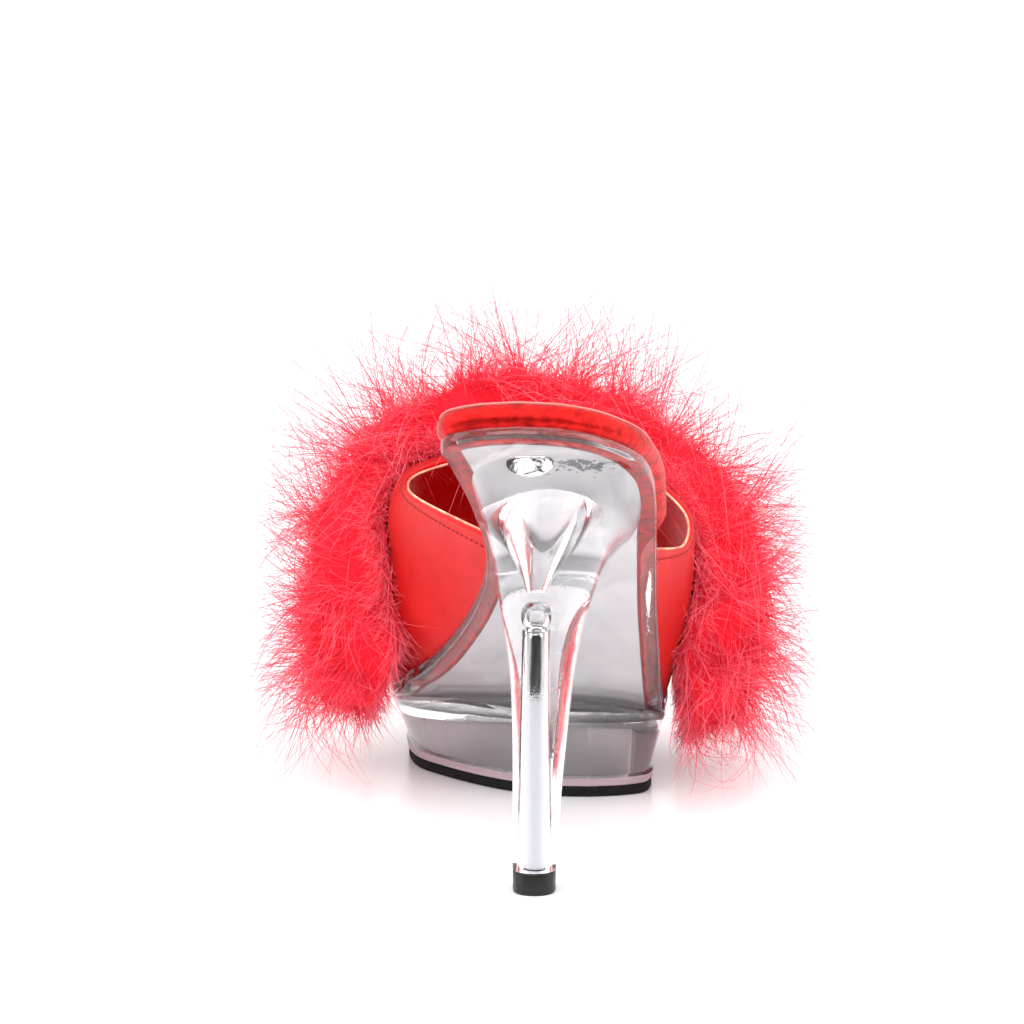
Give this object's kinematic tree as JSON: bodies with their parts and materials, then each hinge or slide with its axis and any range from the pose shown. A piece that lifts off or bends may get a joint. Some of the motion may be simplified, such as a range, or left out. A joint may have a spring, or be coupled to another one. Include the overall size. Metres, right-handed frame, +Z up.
{
  "type": "marabou slipper",
  "caption": "High-heeled platform mule for the right foot, with a clear sole and stiletto heel, a red satin band and a red marabou trim.",
  "frame": {"origin": "on the floor under the middle of the tread, where the forefoot stands", "axes": "+X towards the outer side of the right foot, +Y towards the toe, +Z up"},
  "size_m": [0.1355, 0.2198, 0.1304],
  "materials": {
    "rubber": "matt black, fine grain",
    "clear_plastic": "clear, polished",
    "steel": "bright drawn rod",
    "heel_rubber": "smooth black",
    "silver_foil": "soft silver foil, slightly wrinkled",
    "satin": "red satin, soft sheen",
    "down": "dyed red marabou down"
  },
  "bodies": {
    "root": {"outsole": "rubber", "platform": "clear_plastic", "sole_heel": "clear_plastic", "heel_pin": "steel", "heel_tip": "heel_rubber", "insole_board": "silver_foil", "footbed": "satin", "upper": "satin", "marabou": "down"}
  },
  "joints": []
}
